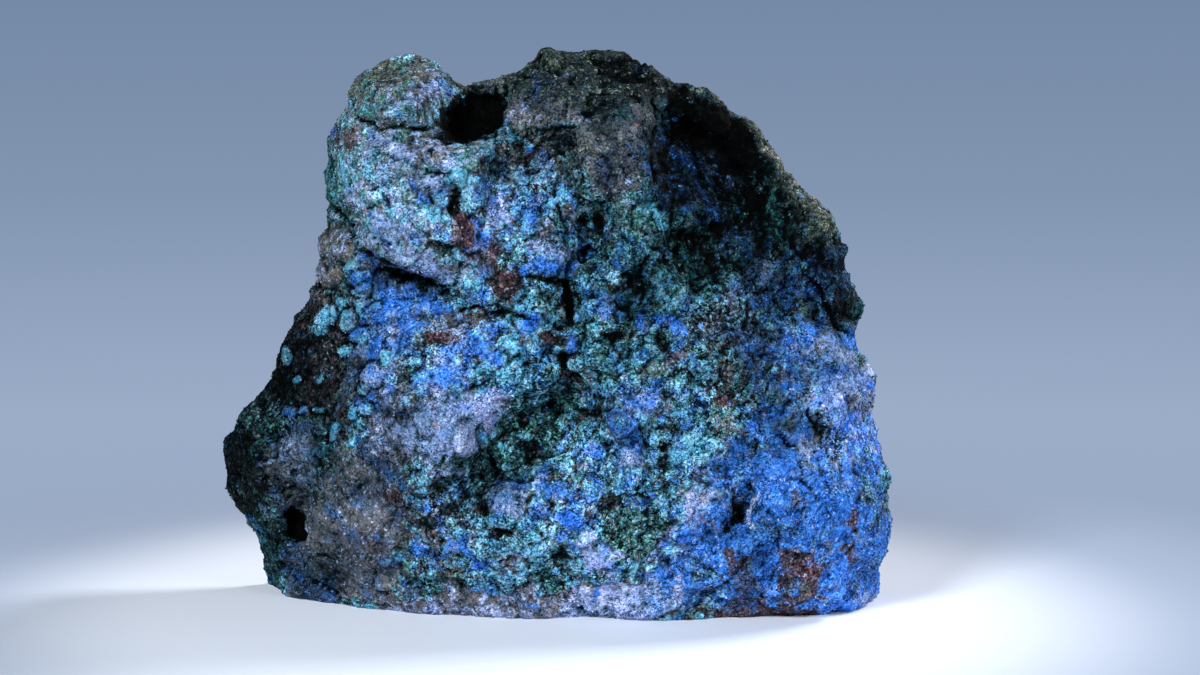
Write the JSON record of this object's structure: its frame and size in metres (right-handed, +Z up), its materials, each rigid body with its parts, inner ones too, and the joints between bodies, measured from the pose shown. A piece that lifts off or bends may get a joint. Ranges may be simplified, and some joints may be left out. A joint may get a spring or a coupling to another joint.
{
  "type": "mineral specimen",
  "caption": "Free-standing hand-size block of broken quartz with a blue and blue-green copper silicate crust over its front, flat cut at the base.",
  "frame": {"origin": "middle of the bounding box at the flat cut base", "axes": "+X to the right seen from the front, -Y out of the crusted front face, +Z up"},
  "size_m": [0.1348, 0.051, 0.1085],
  "materials": {
    "blue_crusted_quartz": "rough broken stone: massive grey quartz under a mottled crust of deep blue, blue-green, rusty brown and dark green mineral, with fine glassy grains that glint"
  },
  "bodies": {
    "root": {"specimen": "blue_crusted_quartz"}
  },
  "joints": []
}
